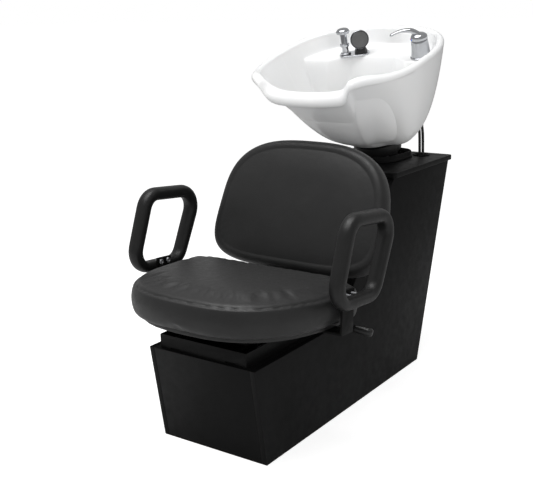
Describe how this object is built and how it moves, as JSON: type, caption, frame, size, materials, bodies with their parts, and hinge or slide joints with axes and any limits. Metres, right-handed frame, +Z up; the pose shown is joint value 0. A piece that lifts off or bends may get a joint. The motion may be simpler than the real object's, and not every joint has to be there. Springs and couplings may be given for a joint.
{
  "type": "shampoo backwash unit",
  "caption": "Salon shampoo backwash unit: a leaning laminate cabinet with a sliding loop-arm chair and a tilting white ceramic bowl with mixer tap and docked spray handset.",
  "frame": {"origin": "on the floor, midway along and across the cabinet's footprint", "axes": "+Z is up, the sitter faces -Y, +Y is the unit's rear where the pipes leave, +X is the side with the seat's release lever and the mixer tap"},
  "size_m": [0.71, 1.2419, 1.0943],
  "materials": {
    "cabinet_board": "satin laminate",
    "board_core": "bare plywood and timber",
    "vinyl": "grained vinyl, satin",
    "urethane": "self-skinned urethane, satin",
    "black_steel": "satin black powder coat",
    "zinc_steel": "zinc plated",
    "black_rubber": "matt",
    "black_plastic": "moulded",
    "white_plastic": "moulded",
    "china": "high gloss white glaze",
    "chrome": "polished",
    "brass": "plain",
    "spray_plate": "dark grey moulded",
    "hose_black": "braid-covered hose, black",
    "drain_plastic": "ribbed drain hose"
  },
  "bodies": {
    "cabinet": {"side_panel_left": "cabinet_board", "side_panel_right": "cabinet_board", "bottom_panel": "board_core", "front_panel": "cabinet_board", "deck_panel": "cabinet_board", "tower_front_panel": "cabinet_board", "top_plate": "cabinet_board", "stretcher_rails": "board_core", "rear_access_panel": "cabinet_board", "access_panel_screws": "zinc_steel", "corner_cleats": "board_core", "hose_grommet": "black_rubber", "slide_base": "black_steel", "slide_base_screws": "zinc_steel", "lower_rails": "black_steel", "latch_rack": "zinc_steel", "tilt_bracket": "black_steel", "tilt_bracket_bolts": "zinc_steel", "tilt_boot": "black_rubber", "tilt_pins": "zinc_steel", "drain_hose": "drain_plastic", "bottle_trap": "white_plastic", "stop_valve_hot": "brass", "stop_valve_cold": "brass", "pipe_clips": "zinc_steel", "supply_hose_hot": "hose_black", "supply_hose_cold": "hose_black"},
    "seat": {"upper_rails": "zinc_steel", "seat_frame": "black_steel", "seat_board": "vinyl", "seat_cushion": "vinyl", "back_bar": "black_steel", "back_board": "vinyl", "back_cushion": "vinyl", "back_bolts": "zinc_steel", "arm_left": "urethane", "arm_right": "urethane", "arm_bracket_left": "black_steel", "arm_bracket_right": "black_steel", "arm_bolts": "zinc_steel", "lever_pivot_bolt": "zinc_steel"},
    "release_lever": {"slide_lever": "black_steel", "lever_knob": "black_plastic"},
    "bowl": {"bowl_cradle": "black_steel", "pivot_shroud": "black_plastic", "bowl_bolts": "zinc_steel", "bowl_shell": "china", "drain_flange": "chrome", "drain_strainer": "chrome", "tailpiece": "chrome", "mixer_body": "chrome", "mixer_nut": "brass", "dock_plate": "chrome", "breaker_column": "chrome", "breaker_cap": "chrome", "handset_cup": "black_plastic"},
    "tap_swivel": {"mixer_cap": "chrome"},
    "tap_lever": {"mixer_handle": "chrome"},
    "handset": {"spray_handset": "chrome", "spray_face": "spray_plate"}
  },
  "joints": [
    {"name": "seat_slide", "type": "slide", "parent": "cabinet", "child": "seat", "axis": [0, 1, 0], "range_m": [-0.09, 0]},
    {"name": "lever_swing", "type": "hinge", "parent": "seat", "child": "release_lever", "pos_m": [0.129, -0.2255, 0.32], "axis": [0, 0, 1], "range_deg": [-12, 0], "stiffness_Nm_per_rad": 0.6, "springref_deg": 5.73},
    {"name": "bowl_tilt", "type": "hinge", "parent": "cabinet", "child": "bowl", "pos_m": [0, 0.4705, 0.7], "axis": [1, 0, 0], "range_deg": [-10, 5], "deforming": ["drain_hose", "supply_hose_hot", "supply_hose_cold"]},
    {"name": "tap_turn", "type": "hinge", "parent": "bowl", "child": "tap_swivel", "pos_m": [0.175, 0.42671, 1.00173], "axis": [0, -0.2924, 0.9563], "range_deg": [-35, 35]},
    {"name": "tap_lift", "type": "hinge", "parent": "tap_swivel", "child": "tap_lever", "pos_m": [0.175, 0.40625, 1.06867], "axis": [-0.4695, 0.8444, 0.2581], "range_deg": [0, 20]},
    {"name": "handset_lift", "type": "slide", "parent": "bowl", "child": "handset", "axis": [0, -0.2924, 0.9563], "range_m": [0, 0.15]}
  ]
}
